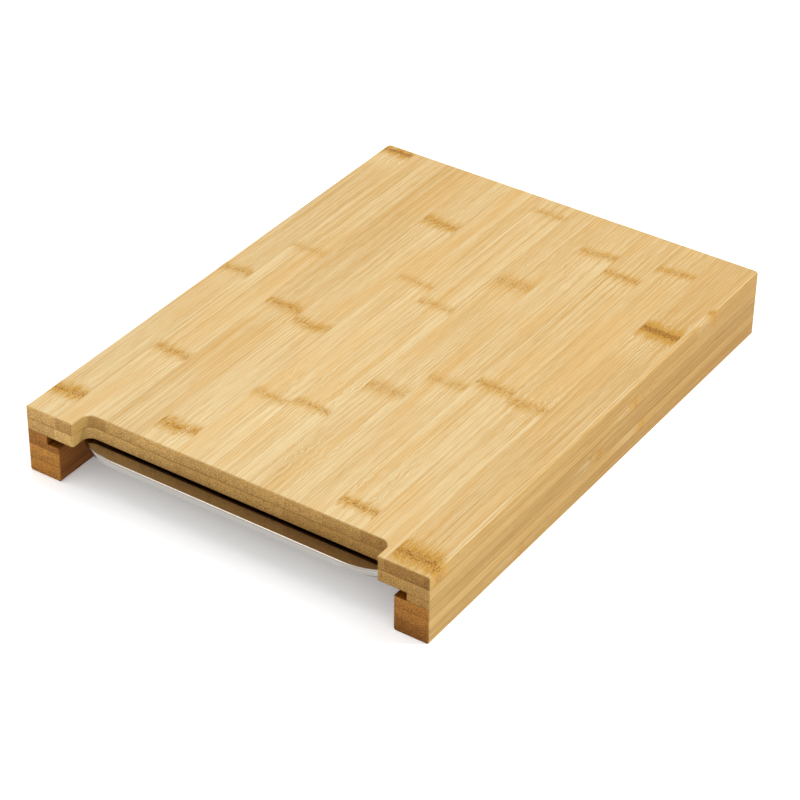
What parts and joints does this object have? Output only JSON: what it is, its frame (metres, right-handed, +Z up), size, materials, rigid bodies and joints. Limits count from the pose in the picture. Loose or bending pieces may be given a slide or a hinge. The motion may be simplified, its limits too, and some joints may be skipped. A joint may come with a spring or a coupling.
{
  "type": "cutting board with pull-out tray",
  "caption": "Bamboo cutting board on side rails, with a finger notch in its front edge and a stainless-steel tray that slides out from under it.",
  "frame": {"origin": "on the resting surface, under the middle of the board", "axes": "+X to the right as seen from the front, +Y from the notched front to the back, along the grain; +Z up, out of the cutting face"},
  "size_m": [0.3, 0.4, 0.049],
  "materials": {
    "bamboo_top": "oiled bamboo, vertical strips with node marks",
    "bamboo_core": "oiled bamboo",
    "bamboo_rail": "oiled bamboo lamellas",
    "steel_tray": "polished stainless steel"
  },
  "bodies": {
    "board": {"upper_strip_01": "bamboo_top", "upper_strip_02": "bamboo_top", "upper_strip_03": "bamboo_top", "upper_strip_04": "bamboo_top", "upper_strip_05": "bamboo_top", "upper_strip_06": "bamboo_top", "upper_strip_07": "bamboo_top", "upper_strip_08": "bamboo_top", "upper_strip_09": "bamboo_top", "upper_strip_10": "bamboo_top", "upper_strip_11": "bamboo_top", "upper_strip_12": "bamboo_top", "lower_strip_01": "bamboo_core", "lower_strip_02": "bamboo_core", "lower_strip_03": "bamboo_core", "lower_strip_04": "bamboo_core", "lower_strip_05": "bamboo_core", "lower_strip_06": "bamboo_core", "lower_strip_07": "bamboo_core", "lower_strip_08": "bamboo_core", "lower_strip_09": "bamboo_core", "lower_strip_10": "bamboo_core", "lower_strip_11": "bamboo_core", "lower_strip_12": "bamboo_core", "left_rail_lamella_1": "bamboo_rail", "left_rail_lamella_2": "bamboo_rail", "left_rail_lamella_3": "bamboo_rail", "right_rail_lamella_1": "bamboo_rail", "right_rail_lamella_2": "bamboo_rail", "right_rail_lamella_3": "bamboo_rail", "right_rail_lamella_4": "bamboo_rail", "rear_rail_lamella_1": "bamboo_rail", "rear_rail_lamella_2": "bamboo_rail", "rear_rail_lamella_3": "bamboo_rail"},
    "tray": {"tray": "steel_tray"}
  },
  "joints": [
    {"name": "tray_slide", "type": "slide", "parent": "board", "child": "tray", "axis": [0, -1, 0], "range_m": [0, 0.3719]}
  ]
}
